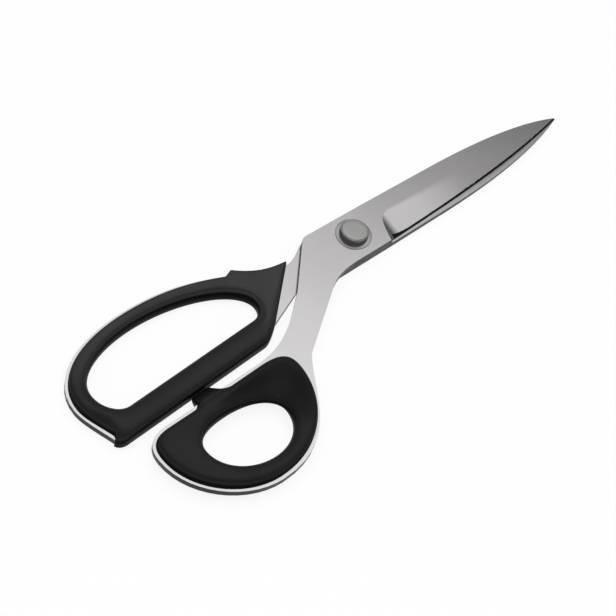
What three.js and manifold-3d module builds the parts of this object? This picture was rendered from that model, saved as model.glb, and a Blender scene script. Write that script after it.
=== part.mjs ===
// Dressmaking shears, closed. Millimetres, +Z up, pivot axis on Z, blade tips towards +X.
// The finger lever lies below, the thumb lever above it. Z = 0 is the plane they rest on.
import * as THREE from "three";
import { mergeVertices } from "three/addons/utils/BufferGeometryUtils.js";
import Module from "manifold-3d";

const wasm = await Module();
wasm.setup();

// Layers
const plateThickness = 3;
const faceGap = 0.1;
const padHeight = 2.4;
const bondGap = 0.15;
const thumbRimWidth = 1.2;
const fingerRimWidth = 0.85;
const linerThickness = 2.2;

// Blades
const bladeReach = 133.2;
const thumbSpineY = 10.6;
const fingerSpineY = 10.6;
const ricassoLow = 11.4;
const heelX = 15.2;
const thumbHeelY = 10.4;
const fingerHeelY = 9.4;
const edgeAngle = 52;
const edgeLand = 0.12;
const tipY = 1.8;

// Grinds
const bevelAngle = 10.4;
const bevelSetback = 9.2;
const wheelRadius = 14;
const plungeReach = 5.4;
const taperStart = 14;
const taperDepth = 2.1;
const hollowDepth = 0.25;
const hollowMargin = 1.6;

// Finger bow: plan sizes of the hole, the steel round it and the bar
const fingerHoleFront = 58.9;
const fingerHoleLength = 83;
const fingerHoleTop = 14.9;
const fingerHoleMidY = -3.7;
const fingerArchBand = 7.6;
const fingerTailBand = 9.8;
const barInnerY = 12.8;
const barWidth = 12;
const barTilt = 4.3;
const barWrap = 2.3;
const guardFrontX = 33.6;
const guardTopY = 5.6;
const guardWrap = 1.5;

// Thumb bow: below the finger bar
const bowGap = 5;
const thumbBowX = 103.3;
const thumbBowDepth = 44.4;
const thumbTailReach = 35.7;
const thumbPadFront = 64.6;
const thumbHoleX = 101.4;
const thumbHoleLength = 39.2;
const thumbHoleDepth = 25.9;
const thumbTopBand = 8.8;
const nubWidth = 9.4;
const nubX = 105;
const stopGap = 0.3;
const nubDrop = 3;
const nubHalfHeight = 2.5;
const nubRootWidth = 8;

// Grip section
const crestInset = 3;
const barCrestInset = 4.2;
const thumbDish = 0.7;
const fingerDish = 0.15;
const lipFall = 0.8;
const lipRadius = 2.6;

// Pivot
const journalRadius = 4;
const threadRadius = 3;
const runningGap = 0.08;
const buttonBaseRadius = 6.4;
const buttonTopRadius = 5.3;
const buttonHeight = 2.9;
const headWasherRadius = 8.2;
const headWasherThickness = 0.4;
const thrustWasherRadius = 8.4;
const thrustWasherThickness = 0.4;
const springWasherRadius = 7.4;
const springWasherThickness = 0.35;
const springWasherRise = 0.2;
const nutRadius = 6.4;
const spannerHoleRadius = 0.8;
const spannerHolePitch = 9.4;

// Facets
const curveSteps = 14;
const gripSteps = 8;
const roundSteps = 48;

// Levels worked out from the layers
const fingerFloor = padHeight;
const fingerTop = fingerFloor + plateThickness;
const thumbFloor = fingerTop + faceGap;
const thumbTop = thumbFloor + plateThickness;

const steel = new THREE.MeshStandardMaterial({ color: 0xb9b8b4, roughness: 0.35, metalness: 1 });
const polished = new THREE.MeshStandardMaterial({ color: 0xc4c3bf, roughness: 0.25, metalness: 1 });
const spring = new THREE.MeshStandardMaterial({ color: 0x8f8e8a, roughness: 0.4, metalness: 1 });
const elastomer = new THREE.MeshStandardMaterial({ color: 0x1b1b1c, roughness: 0.62, metalness: 0 });

const radians = THREE.MathUtils.degToRad;

function point(x, y) {
  return new THREE.Vector2(x, y);
}

function solidOf(geometry) {
  const bare = geometry.clone();
  bare.deleteAttribute("normal");
  bare.deleteAttribute("uv");
  const merged = mergeVertices(bare, 1e-5);
  const mesh = new wasm.Mesh({
    numProp: 3,
    vertProperties: new Float32Array(merged.attributes.position.array),
    triVerts: new Uint32Array(merged.index.array),
  });
  return new wasm.Manifold(mesh);
}

function meshOf(name, solid, material) {
  const data = solid.getMesh();
  const geometry = new THREE.BufferGeometry();
  geometry.setAttribute("position", new THREE.BufferAttribute(new Float32Array(data.vertProperties), 3));
  geometry.setIndex(new THREE.BufferAttribute(new Uint32Array(data.triVerts), 1));
  geometry.computeVertexNormals();
  const mesh = new THREE.Mesh(geometry, material);
  mesh.name = name;
  return mesh;
}

function loopArea(loop) {
  return THREE.ShapeUtils.area(loop);
}

function leftTurning(loop) {
  return loopArea(loop) > 0 ? loop : [...loop].reverse();
}

// Solid between z and z + height over a closed outline with holes
function slab(outline, holes, z, height) {
  const shape = new THREE.Shape(leftTurning(outline));
  shape.holes = holes.map((hole) => new THREE.Path(hole));
  const geometry = new THREE.ExtrudeGeometry(shape, { depth: height, bevelEnabled: false });
  geometry.translate(0, 0, z);
  return solidOf(geometry);
}

function disc(radius, z, height, x = 0, y = 0) {
  const geometry = new THREE.CylinderGeometry(radius, radius, height, roundSteps);
  geometry.rotateX(Math.PI / 2);
  geometry.translate(x, y, z + height / 2);
  return solidOf(geometry);
}

// Round solid about Z from radius and height pairs
function turned(pairs) {
  const profile = pairs.map(([radius, z]) => point(radius, z));
  const geometry = new THREE.LatheGeometry(profile, roundSteps);
  geometry.rotateX(Math.PI / 2);
  return solidOf(geometry);
}

// Skin over rings of equal length, closed on itself or capped at both ends
function loft(rings, closed) {
  const count = rings[0].length;
  const vertices = rings.flat().flatMap((corner) => [corner.x, corner.y, corner.z]);
  const faces = [];
  const spans = closed ? rings.length : rings.length - 1;
  for (let ring = 0; ring < spans; ring += 1) {
    const next = (ring + 1) % rings.length;
    for (let side = 0; side < count; side += 1) {
      const across = (side + 1) % count;
      const near = ring * count;
      const far = next * count;
      faces.push(near + side, far + side, far + across);
      faces.push(near + side, far + across, near + across);
    }
  }
  if (!closed) {
    const last = (rings.length - 1) * count;
    for (let side = 1; side < count - 1; side += 1) {
      faces.push(0, side, side + 1);
      faces.push(last, last + side + 1, last + side);
    }
  }
  const geometry = new THREE.BufferGeometry();
  geometry.setAttribute("position", new THREE.Float32BufferAttribute(vertices, 3));
  geometry.setIndex(faces);
  const solid = solidOf(geometry);
  if (solid.volume() > 0) {
    return solid;
  }
  for (let corner = 0; corner < faces.length; corner += 3) {
    [faces[corner], faces[corner + 1]] = [faces[corner + 1], faces[corner]];
  }
  geometry.setIndex(faces);
  return solidOf(geometry);
}

// Closed loop moved outwards by a distance, inwards when it is negative
function grown(loop, distance) {
  const side = Math.sign(loopArea(loop));
  return loop.map((corner, index) => {
    const before = loop[(index + loop.length - 1) % loop.length];
    const after = loop[(index + 1) % loop.length];
    const into = corner.clone().sub(before).normalize();
    const out = after.clone().sub(corner).normalize();
    const along = into.add(out).normalize();
    return corner.clone().add(point(along.y, -along.x).multiplyScalar(distance * side));
  });
}

function withoutRepeats(loop) {
  return loop.filter((corner, index) => {
    const before = loop[(index + loop.length - 1) % loop.length];
    return corner.distanceTo(before) > 0.02;
  });
}

// Height of a run of points at x
function heightAt(run, x) {
  for (let index = 1; index < run.length; index += 1) {
    const low = run[index - 1];
    const high = run[index];
    if ((x - low.x) * (x - high.x) <= 0 && low.x !== high.x) {
      return low.y + ((high.y - low.y) * (x - low.x)) / (high.x - low.x);
    }
  }
  return run[x > run[0].x === run[run.length - 1].x > run[0].x ? run.length - 1 : 0].y;
}

// Bar of the finger bow: its two faces as lines through the middle of the hole
const barSlope = Math.tan(radians(barTilt));
const fingerHoleMidX = -fingerHoleFront - fingerHoleLength / 2;
const fingerHoleTail = -fingerHoleFront - fingerHoleLength;

function barInner(x) {
  return -barInnerY + (x - fingerHoleMidX) * barSlope;
}

function barOuter(x) {
  return barInner(x) - barWidth / Math.cos(radians(barTilt));
}

function fingerHoleLoop() {
  const frontReach = fingerHoleLength * 0.54;
  const tailReach = fingerHoleLength - frontReach;
  const topX = -fingerHoleFront - frontReach;
  const rise = fingerHoleTop - fingerHoleMidY;
  const cornerFront = -fingerHoleFront - 6;
  const cornerTail = fingerHoleTail + 10;
  const path = new THREE.Path();
  path.moveTo(-fingerHoleFront, fingerHoleMidY);
  path.bezierCurveTo(
    -fingerHoleFront, fingerHoleMidY + rise * 0.5,
    topX + frontReach * 0.53, fingerHoleTop,
    topX, fingerHoleTop,
  );
  path.bezierCurveTo(
    topX - tailReach * 0.57, fingerHoleTop,
    fingerHoleTail, fingerHoleMidY + rise * 0.57,
    fingerHoleTail, fingerHoleMidY,
  );
  path.bezierCurveTo(
    fingerHoleTail, fingerHoleMidY - 6.5,
    cornerTail - 5.5, barInner(cornerTail - 5.5),
    cornerTail, barInner(cornerTail),
  );
  path.lineTo(cornerFront, barInner(cornerFront));
  path.bezierCurveTo(
    cornerFront + 3.5, barInner(cornerFront + 3.5),
    -fingerHoleFront, fingerHoleMidY - 4,
    -fingerHoleFront, fingerHoleMidY,
  );
  return withoutRepeats(path.getPoints(curveSteps));
}

// Thumb bow levels hang from the bar's outer face
const thumbTailX = -thumbBowX - thumbTailReach;
const thumbRimTail = point(-thumbBowX - thumbTailReach * 0.67, 0);
thumbRimTail.y = barOuter(thumbRimTail.x) - bowGap;
const thumbRimFront = point(-thumbBowX + 25, thumbRimTail.y + 2.5);
const thumbBottomY = thumbRimTail.y - thumbBowDepth;
const thumbTailY = thumbRimTail.y - thumbBowDepth * 0.25;

function thumbHoleLoop() {
  const top = thumbRimTail.y - thumbTopBand;
  const bottom = top - thumbHoleDepth;
  const tail = -thumbHoleX - thumbHoleLength / 2;
  const front = -thumbHoleX + thumbHoleLength / 2;
  const topX = -thumbHoleX - 2;
  const lowX = -thumbHoleX + 1.4;
  const tailY = top - thumbHoleDepth * 0.36;
  const frontY = top - thumbHoleDepth * 0.45;
  const path = new THREE.Path();
  path.moveTo(front, frontY);
  path.bezierCurveTo(front, frontY + (top - frontY) * 0.6, topX + (front - topX) * 0.55, top, topX, top);
  path.bezierCurveTo(topX + (tail - topX) * 0.62, top, tail, tailY + (top - tailY) * 0.66, tail, tailY);
  path.bezierCurveTo(tail, tailY + (bottom - tailY) * 0.55, lowX + (tail - lowX) * 0.55, bottom, lowX, bottom);
  path.bezierCurveTo(
    lowX + (front - lowX) * 0.55, bottom,
    front, frontY + (bottom - frontY) * 0.55,
    front, frontY,
  );
  return withoutRepeats(path.getPoints(curveSteps));
}

// Blade curves, each from the tip back
const tip = point(bladeReach, tipY);

function thumbEdge() {
  const control = point(bladeReach * 0.7, -thumbHeelY * 0.66);
  return new THREE.QuadraticBezierCurve(tip, control, point(heelX, -thumbHeelY));
}

function fingerEdge() {
  const control = point(bladeReach * 0.73, fingerHeelY * 0.9);
  return new THREE.QuadraticBezierCurve(tip, control, point(heelX, fingerHeelY));
}

function thumbSpine() {
  const start = point(bladeReach * 0.4, thumbSpineY + 0.4);
  const first = point(bladeReach * 0.72, thumbSpineY + 0.8);
  return new THREE.CubicBezierCurve(tip, point(bladeReach * 0.9, thumbSpineY * 0.68), first, start);
}

function fingerSpine() {
  const start = point(bladeReach * 0.31, -fingerSpineY);
  const first = point(bladeReach * 0.62, -fingerSpineY * 0.93);
  return new THREE.CubicBezierCurve(tip, point(bladeReach * 0.83, -fingerSpineY * 0.55), first, start);
}

// Thumb lever, from the tip along the edge to the bow and back along the spine
const thumbShoulder = point(-20.4, thumbSpineY);
const thumbNeck = point(-40.9, thumbSpineY - 20.8);

function thumbLoop() {
  const shape = new THREE.Path();
  const edge = thumbEdge();
  const spine = thumbSpine();
  const rimTurn = thumbRimTail.x - (thumbRimTail.x - thumbTailX) * 0.72;
  shape.moveTo(tip.x, tip.y);
  shape.quadraticCurveTo(edge.v1.x, edge.v1.y, edge.v2.x, edge.v2.y);
  shape.lineTo(heelX - 2.5, -ricassoLow);
  shape.lineTo(-8.3, -ricassoLow - 0.4);
  shape.bezierCurveTo(-18.3, -ricassoLow - 0.9, -22.8, -ricassoLow - 2.6, -29.3, -ricassoLow - 7.6);
  shape.lineTo(-55.8, -ricassoLow - 25.9);
  shape.bezierCurveTo(
    -thumbPadFront - 2.7, -ricassoLow - 38,
    -thumbBowX + 31.5, thumbBottomY,
    -thumbBowX, thumbBottomY,
  );
  shape.bezierCurveTo(
    -thumbBowX - thumbTailReach * 0.51, thumbBottomY,
    thumbTailX, thumbTailY + (thumbBottomY - thumbTailY) * 0.52,
    thumbTailX, thumbTailY,
  );
  shape.bezierCurveTo(
    thumbTailX, thumbTailY + 7,
    rimTurn, thumbRimTail.y - 0.5,
    thumbRimTail.x, thumbRimTail.y,
  );
  shape.lineTo(thumbRimFront.x, thumbRimFront.y);
  shape.bezierCurveTo(
    thumbRimFront.x + 16, thumbRimFront.y + 0.8,
    thumbNeck.x - 12.6, thumbNeck.y - 10.2,
    thumbNeck.x, thumbNeck.y,
  );
  shape.lineTo(thumbShoulder.x - 2, thumbShoulder.y - 2);
  shape.quadraticCurveTo(thumbShoulder.x - 0.8, thumbShoulder.y, thumbShoulder.x + 2, thumbShoulder.y);
  shape.lineTo(spine.v3.x, spine.v3.y);
  shape.bezierCurveTo(spine.v2.x, spine.v2.y, spine.v1.x, spine.v1.y, tip.x, tip.y);
  return withoutRepeats(shape.getPoints(curveSteps));
}

// Steel of the finger bow
const fingerTailX = fingerHoleTail - fingerTailBand;
const archTopX = fingerHoleMidX - 1.8;
const archTopY = fingerHoleTop + fingerArchBand;
const archFront = point(-fingerHoleFront - 3.7, archTopY - 8.1);
const tailLow = point(fingerTailX + 5.3, barOuter(fingerTailX + 5.3) + barWrap + 1.3);
const barLowTail = point(fingerTailX + 9, barOuter(fingerTailX + 9) + barWrap);
const barLowFront = point(-fingerHoleFront - 5.4, barOuter(-fingerHoleFront - 5.4) + barWrap);
const shankTop = point(-guardFrontX - 0.7, guardTopY - 1.2);
const shankLow = point(-38.3, guardTopY - 14);
const fingerShoulder = point(-18.3, -fingerSpineY - 1.5);

function fingerLoop() {
  const shape = new THREE.Path();
  const edge = fingerEdge();
  const spine = fingerSpine();
  shape.moveTo(tip.x, tip.y);
  shape.quadraticCurveTo(edge.v1.x, edge.v1.y, edge.v2.x, edge.v2.y);
  shape.lineTo(heelX - 3, fingerHeelY + 0.6);
  shape.lineTo(-18.3, fingerHeelY + 0.9);
  shape.bezierCurveTo(
    -24.3, fingerHeelY + 0.9,
    shankTop.x + 7.5, shankTop.y + 0.6,
    shankTop.x, shankTop.y,
  );
  shape.bezierCurveTo(
    shankTop.x - 10, shankTop.y - 0.6,
    archFront.x + 10, archFront.y - 5.3,
    archFront.x, archFront.y,
  );
  shape.bezierCurveTo(archFront.x - 10, archFront.y + 4.5, archTopX + 17, archTopY, archTopX, archTopY);
  shape.bezierCurveTo(
    archTopX + (fingerTailX - archTopX) * 0.6, archTopY,
    fingerTailX, fingerHoleMidY + (archTopY - fingerHoleMidY) * 0.6,
    fingerTailX, fingerHoleMidY - 1.7,
  );
  shape.bezierCurveTo(
    fingerTailX, fingerHoleMidY - 6.7,
    tailLow.x - 2.5, tailLow.y + 7.5,
    tailLow.x, tailLow.y,
  );
  shape.quadraticCurveTo(tailLow.x + 0.6, barLowTail.y - 0.3, barLowTail.x, barLowTail.y);
  shape.lineTo(barLowFront.x, barLowFront.y);
  shape.lineTo(shankLow.x, shankLow.y);
  shape.bezierCurveTo(
    shankLow.x + 5, shankLow.y + 2,
    fingerShoulder.x - 8, fingerShoulder.y + 0.2,
    fingerShoulder.x, fingerShoulder.y,
  );
  shape.lineTo(spine.v3.x, spine.v3.y);
  shape.bezierCurveTo(spine.v2.x, spine.v2.y, spine.v1.x, spine.v1.y, tip.x, tip.y);
  return withoutRepeats(shape.getPoints(curveSteps));
}

// Grip outlines: strands of points, each marked as wrapped over the steel's edge or not
function strand(start, draw, wrapped) {
  const path = new THREE.Path();
  path.moveTo(start.x, start.y);
  draw(path);
  return path.getPoints(gripSteps).map((corner) => ({ corner, wrapped }));
}

function stationsOf(strands) {
  const all = strands.flat();
  const kept = all.filter((item, index) => {
    const before = all[(index + all.length - 1) % all.length];
    return item.corner.distanceTo(before.corner) > 0.05;
  });
  return kept.flatMap((item, index) => {
    const next = kept[(index + 1) % kept.length];
    const parts = Math.ceil(item.corner.distanceTo(next.corner) / 7);
    const between = Array.from({ length: parts }, (_, part) => part / parts);
    return between.map((share) => ({
      corner: item.corner.clone().lerp(next.corner, share),
      wrapped: item.wrapped && (share === 0 || next.wrapped),
    }));
  });
}

function nearestOn(loop, target) {
  let best = loop[0];
  let least = Infinity;
  loop.forEach((start, index) => {
    const span = loop[(index + 1) % loop.length].clone().sub(start);
    const share = THREE.MathUtils.clamp(target.clone().sub(start).dot(span) / span.lengthSq(), 0, 1);
    const spot = start.clone().addScaledVector(span, share);
    const distance = spot.distanceTo(target);
    if (distance < least) {
      least = distance;
      best = spot;
    }
  });
  return best;
}

// Half section of a grip: pairs of distance from the outer line and height over the plate's middle
function halfSection(width, wrapped, dish) {
  const inset = Math.min(wrapped ? barCrestInset : crestInset, width * 0.4);
  const round = Math.min(lipRadius, width * 0.4);
  const foot = plateThickness / 2;
  const crest = foot + padHeight;
  const lip = crest - lipFall;
  const exposedFlank = [[0, foot], [inset * 0.3, foot + padHeight * 0.62]];
  const wrappedFlank = [[inset * 0.08, crest * 0.5], [inset * 0.36, crest * 0.85]];
  return [
    [0, 0],
    ...(wrapped ? wrappedFlank : exposedFlank),
    [inset, crest],
    [(inset + width - round) / 2, crest - dish],
    [width - round, lip],
    [width - round * 0.45, lip * 0.86],
    [width - round * 0.1, lip * 0.45],
    [width, 0],
  ];
}

function gripRing(station, hole, middle, dish) {
  const inner = nearestOn(hole, station.corner);
  const inwards = inner.clone().sub(station.corner);
  const width = inwards.length();
  inwards.normalize();
  const half = halfSection(width, station.wrapped, dish);
  const nub = station.nub ?? 0;
  const nubRoot = nubRootWidth * nub + 0.01;
  const under = half.slice(1, -1).reverse().map(([inset, height]) => [inset, -height]);
  return [...half, ...under].map(([inset, height]) => {
    const spot = station.corner.clone().addScaledVector(inwards, inset);
    const lowered = nub * (1 - THREE.MathUtils.smoothstep(inset, 0, nubRoot));
    const flatter = 1 - lowered * (1 - nubHalfHeight / (padHeight + plateThickness / 2));
    return new THREE.Vector3(spot.x, spot.y, middle + height * flatter - nubDrop * lowered);
  });
}

function gripSolid(stations, hole, plateLoop, floor, dish) {
  const rings = stations.map((station) => gripRing(station, hole, floor + plateThickness / 2, dish));
  const pocket = slab(
    grown(plateLoop, bondGap),
    [grown(hole, linerThickness - bondGap)],
    floor,
    plateThickness,
  );
  return loft(rings, true).subtract(pocket);
}

function thumbGripStations() {
  const front = -thumbPadFront;
  const low = thumbBottomY + thumbRimWidth;
  const tail = thumbTailX + thumbRimWidth;
  const rimTail = point(thumbRimTail.x, thumbRimTail.y - thumbRimWidth);
  const rimFront = point(thumbRimFront.x, thumbRimFront.y - thumbRimWidth);
  const rimAt = (x) => heightAt([rimTail, rimFront], x);
  const bow = strand(point(front, thumbRimTail.y - 7.2), (path) => {
    path.bezierCurveTo(
      front, thumbRimTail.y - 23.2,
      -thumbBowX + 25, low,
      -thumbBowX, low,
    );
    path.bezierCurveTo(
      -thumbBowX - (thumbTailReach - thumbRimWidth) * 0.51, low,
      tail, thumbTailY + (low - thumbTailY) * 0.52,
      tail, thumbTailY,
    );
    path.bezierCurveTo(tail, thumbTailY + 6.4, rimTail.x - 8, rimTail.y - 0.4, rimTail.x, rimTail.y);
  }, false);
  const nubTail = -nubX - nubWidth / 2;
  const nubFront = -nubX + nubWidth / 2;
  const nub = strand(point(nubTail - 4, rimAt(nubTail - 4)), (path) => {
    path.bezierCurveTo(
      nubTail - 1.2, rimAt(nubTail),
      nubTail - 0.8, barOuter(nubTail) - stopGap - 2,
      nubTail + 0.6, barOuter(nubTail + 0.6) - stopGap,
    );
    path.lineTo(nubFront - 0.6, barOuter(nubFront - 0.6) - stopGap);
    path.bezierCurveTo(
      nubFront + 0.6, barOuter(nubFront) - stopGap - 1.8,
      nubFront + 1.8, rimAt(nubFront),
      nubFront + 6, rimAt(nubFront + 6),
    );
  }, true);
  const top = strand(rimFront, (path) => {
    path.bezierCurveTo(
      front - 4, rimFront.y + 0.4,
      front, rimFront.y - 1.6,
      front, thumbRimTail.y - 7.2,
    );
  }, false);
  const nubReach = barOuter(-nubX) - stopGap - rimAt(-nubX);
  return stationsOf([bow, nub, top]).map((station) => {
    const beyond = station.wrapped ? (station.corner.y - rimAt(station.corner.x)) / nubReach : 0;
    return { ...station, nub: THREE.MathUtils.clamp(beyond, 0, 1) };
  });
}

function fingerGripStations() {
  const guardTip = point(-guardFrontX, guardTopY);
  const guardPeak = point(archFront.x + 5.4, archFront.y + guardWrap - 1.1);
  const notch = point(archFront.x + 1.4, archFront.y - fingerRimWidth);
  const archLow = archTopY - fingerRimWidth;
  const tail = fingerTailX + fingerRimWidth;
  const tailEnd = point(tailLow.x + fingerRimWidth, tailLow.y + 1);
  const cornerOut = point(tailLow.x - 0.6, tailLow.y - 0.6);
  const barTail = point(barLowTail.x + 0.4, barOuter(barLowTail.x + 0.4));
  const barFront = point(-fingerHoleFront - 6.8, barOuter(-fingerHoleFront - 6.8));
  const frontLow = point(-56.1, heightAt([barLowFront, shankLow], -56.1) - 0.5);
  const guard = strand(guardTip, (path) => {
    path.bezierCurveTo(
      guardTip.x - 9.5, guardTip.y + 0.3,
      guardPeak.x + 7.6, guardPeak.y - 6.2,
      guardPeak.x, guardPeak.y,
    );
  }, true);
  const arch = strand(notch, (path) => {
    path.bezierCurveTo(archFront.x - 10, archFront.y + 3.2, archTopX + 17, archLow, archTopX, archLow);
    path.bezierCurveTo(
      archTopX + (tail - archTopX) * 0.6, archLow,
      tail, fingerHoleMidY + (archLow - fingerHoleMidY) * 0.6,
      tail, fingerHoleMidY - 1.7,
    );
    path.bezierCurveTo(
      tail, fingerHoleMidY - 6.7,
      tailEnd.x - 2.4, tailEnd.y + 7,
      tailEnd.x, tailEnd.y,
    );
  }, false);
  const bar = strand(cornerOut, (path) => {
    path.quadraticCurveTo(cornerOut.x + 0.4, barTail.y - 0.2, barTail.x, barTail.y);
    path.lineTo(barFront.x, barFront.y);
    path.bezierCurveTo(
      barFront.x + 3, barOuter(barFront.x + 3),
      frontLow.x - 3.4, frontLow.y - 2.9,
      frontLow.x, frontLow.y,
    );
  }, true);
  const front = strand(point(frontLow.x + 1, frontLow.y + 1), (path) => {
    path.lineTo(guardTip.x - 0.3, guardTip.y - 0.7);
  }, false);
  return stationsOf([guard, arch, bar, front]);
}

// Grinding tools for a blade with its outer face up at the plate's top and its edge towards -Y
function placed(geometry, xAxis, yAxis, zAxis, origin) {
  const matrix = new THREE.Matrix4().makeBasis(xAxis, yAxis, zAxis).setPosition(origin);
  return solidOf(geometry.applyMatrix4(matrix));
}

function grindProfile(withHeel) {
  const far = bladeReach + 6;
  const clear = wheelRadius + 2;
  const shape = new THREE.Shape();
  if (withHeel) {
    const wheelX = heelX + plungeReach;
    const lift = wheelRadius - (taperDepth * (wheelX - taperStart)) / (far - taperStart);
    shape.moveTo(wheelX - wheelRadius, clear);
    shape.lineTo(wheelX - wheelRadius, lift);
    shape.absarc(wheelX, lift, wheelRadius, Math.PI, Math.PI * 1.5, false);
  } else {
    shape.moveTo(taperStart, clear);
    shape.lineTo(taperStart, 0);
  }
  shape.lineTo(far, -taperDepth);
  shape.lineTo(far, clear);
  shape.closePath();
  return shape;
}

function mainGrind(spineY) {
  const angle = radians(bevelAngle);
  const options = { depth: 40, bevelEnabled: false, curveSegments: curveSteps };
  const geometry = new THREE.ExtrudeGeometry(grindProfile(true), options);
  return placed(
    geometry,
    new THREE.Vector3(1, 0, 0),
    new THREE.Vector3(0, -Math.sin(angle), Math.cos(angle)),
    new THREE.Vector3(0, -Math.cos(angle), -Math.sin(angle)),
    new THREE.Vector3(0, spineY - bevelSetback, plateThickness),
  );
}

function distalGrind() {
  const options = { depth: 60, bevelEnabled: false, curveSegments: curveSteps };
  const geometry = new THREE.ExtrudeGeometry(grindProfile(false), options);
  return placed(
    geometry,
    new THREE.Vector3(1, 0, 0),
    new THREE.Vector3(0, 0, 1),
    new THREE.Vector3(0, -1, 0),
    new THREE.Vector3(0, 30, plateThickness),
  );
}

function edgeGrind(edge) {
  const rise = plateThickness + 1;
  const reach = rise / Math.tan(radians(edgeAngle));
  const run = edge.getPoints(curveSteps * 2);
  const first = run[0].clone().addScaledVector(edge.getTangent(0), -4);
  const rings = [first, ...run].map((spot, index) => {
    const along = edge.getTangent(Math.max(index - 1, 0) / (curveSteps * 2));
    const out = point(-along.y, along.x);
    const at = (distance, height) => new THREE.Vector3(
      spot.x + out.x * distance,
      spot.y + out.y * distance,
      height,
    );
    return [at(0, edgeLand), at(8, edgeLand), at(8, rise + edgeLand), at(-reach, rise + edgeLand)];
  });
  return loft(rings, false);
}

function hollowGrind(edge, spine) {
  const edgeRun = edge.getPoints(curveSteps * 2);
  const spineRun = [...spine.getPoints(curveSteps), point(0, spine.v3.y)];
  const startX = journalRadius + 8;
  const endX = bladeReach - 9;
  const rings = Array.from({ length: curveSteps + 1 }, (_, step) => {
    const x = startX + ((endX - startX) * step) / curveSteps;
    const low = heightAt(edgeRun, x) + hollowMargin;
    const high = Math.max(heightAt(spineRun, x) - hollowMargin, low + 0.5);
    const depth = hollowDepth * Math.min(1, (high - low) / 12);
    const arc = Array.from({ length: 7 }, (__, part) => {
      const share = part / 6;
      return new THREE.Vector3(x, low + (high - low) * share, depth * 4 * share * (1 - share));
    });
    return [new THREE.Vector3(x, high, -1), new THREE.Vector3(x, low, -1), ...arc];
  });
  return loft(rings, false);
}

function mirroredCurve(curve) {
  const flip = (spot) => point(spot.x, -spot.y);
  if (curve.isQuadraticBezierCurve) {
    return new THREE.QuadraticBezierCurve(flip(curve.v0), flip(curve.v1), flip(curve.v2));
  }
  return new THREE.CubicBezierCurve(flip(curve.v0), flip(curve.v1), flip(curve.v2), flip(curve.v3));
}

// Plate with its inner face on z = 0, ground, with the pivot bore
function groundPlate(loop, hole, edge, spine) {
  const bore = disc(journalRadius + runningGap, -1, plateThickness + 2);
  return slab(loop, [grown(hole, linerThickness)], 0, plateThickness)
    .subtract(mainGrind(spine.v3.y))
    .subtract(distalGrind())
    .subtract(edgeGrind(edge))
    .subtract(hollowGrind(edge, spine))
    .subtract(bore);
}

function flipped(loop) {
  return loop.map((corner) => point(corner.x, -corner.y));
}

function pivotBolt() {
  const seat = thumbTop + headWasherThickness;
  const top = seat + buttonHeight;
  const flank = buttonBaseRadius - buttonTopRadius;
  return turned([
    [0, 0],
    [threadRadius - 0.3, 0],
    [threadRadius, 0.3],
    [threadRadius, fingerFloor - 0.1],
    [journalRadius, fingerFloor - 0.1],
    [journalRadius, seat],
    [buttonBaseRadius, seat],
    [buttonBaseRadius, seat + buttonHeight * 0.62],
    [buttonBaseRadius - flank * 0.2, seat + buttonHeight * 0.82],
    [buttonBaseRadius - flank * 0.55, seat + buttonHeight * 0.94],
    [buttonTopRadius, top],
    [0, top],
  ]);
}

function washer(outer, inner, z, thickness) {
  return disc(outer, z, thickness).subtract(disc(inner, z - 1, thickness + 2));
}

const washerBore = journalRadius + runningGap;
const thrustFloor = fingerFloor - thrustWasherThickness;
const springFloor = thrustFloor - springWasherRise - springWasherThickness;
const nutTop = springFloor - 0.02;

function springWasher() {
  const inner = washerBore;
  const outer = springWasherRadius;
  const low = springFloor;
  const high = springFloor + springWasherRise;
  return turned([
    [inner, high],
    [outer, low],
    [outer, low + springWasherThickness],
    [inner, high + springWasherThickness],
    [inner, high],
  ]);
}

function lockNut() {
  const bore = threadRadius + runningGap;
  const body = turned([
    [bore, 0],
    [nutRadius - 0.3, 0],
    [nutRadius, 0.3],
    [nutRadius, nutTop],
    [bore, nutTop],
    [bore, 0],
  ]);
  const spot = spannerHolePitch / 2;
  return body
    .subtract(disc(spannerHoleRadius, -1, nutTop + 2, 0, spot))
    .subtract(disc(spannerHoleRadius, -1, nutTop + 2, 0, -spot));
}

const thumbHole = thumbHoleLoop();
const fingerHole = fingerHoleLoop();
const thumbPlan = thumbLoop();
const fingerPlan = fingerLoop();

const thumbBlade = groundPlate(thumbPlan, thumbHole, thumbEdge(), thumbSpine())
  .translate([0, 0, thumbFloor]);
const fingerBlade = groundPlate(
  flipped(fingerPlan),
  flipped(fingerHole),
  mirroredCurve(fingerEdge()),
  mirroredCurve(fingerSpine()),
).rotate([180, 0, 0]).translate([0, 0, fingerTop]);

const shears = new THREE.Group();
shears.name = "dressmaking_shears";
shears.add(
  meshOf("finger_blade", fingerBlade, steel),
  meshOf("finger_grip", gripSolid(fingerGripStations(), fingerHole, fingerPlan, fingerFloor, fingerDish), elastomer),
  meshOf("thrust_washer", washer(thrustWasherRadius, washerBore, thrustFloor, thrustWasherThickness), polished),
  meshOf("thumb_blade", thumbBlade, steel),
  meshOf("thumb_grip", gripSolid(thumbGripStations(), thumbHole, thumbPlan, thumbFloor, thumbDish), elastomer),
  meshOf("pivot_bolt", pivotBolt(), polished),
  meshOf("head_washer", washer(headWasherRadius, washerBore, thumbTop, headWasherThickness), polished),
  meshOf("spring_washer", springWasher(), spring),
  meshOf("lock_nut", lockNut(), polished),
);

export default shears;
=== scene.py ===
import math
import bpy
import bmesh
import numpy as np
from mathutils import Matrix, Vector


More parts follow.
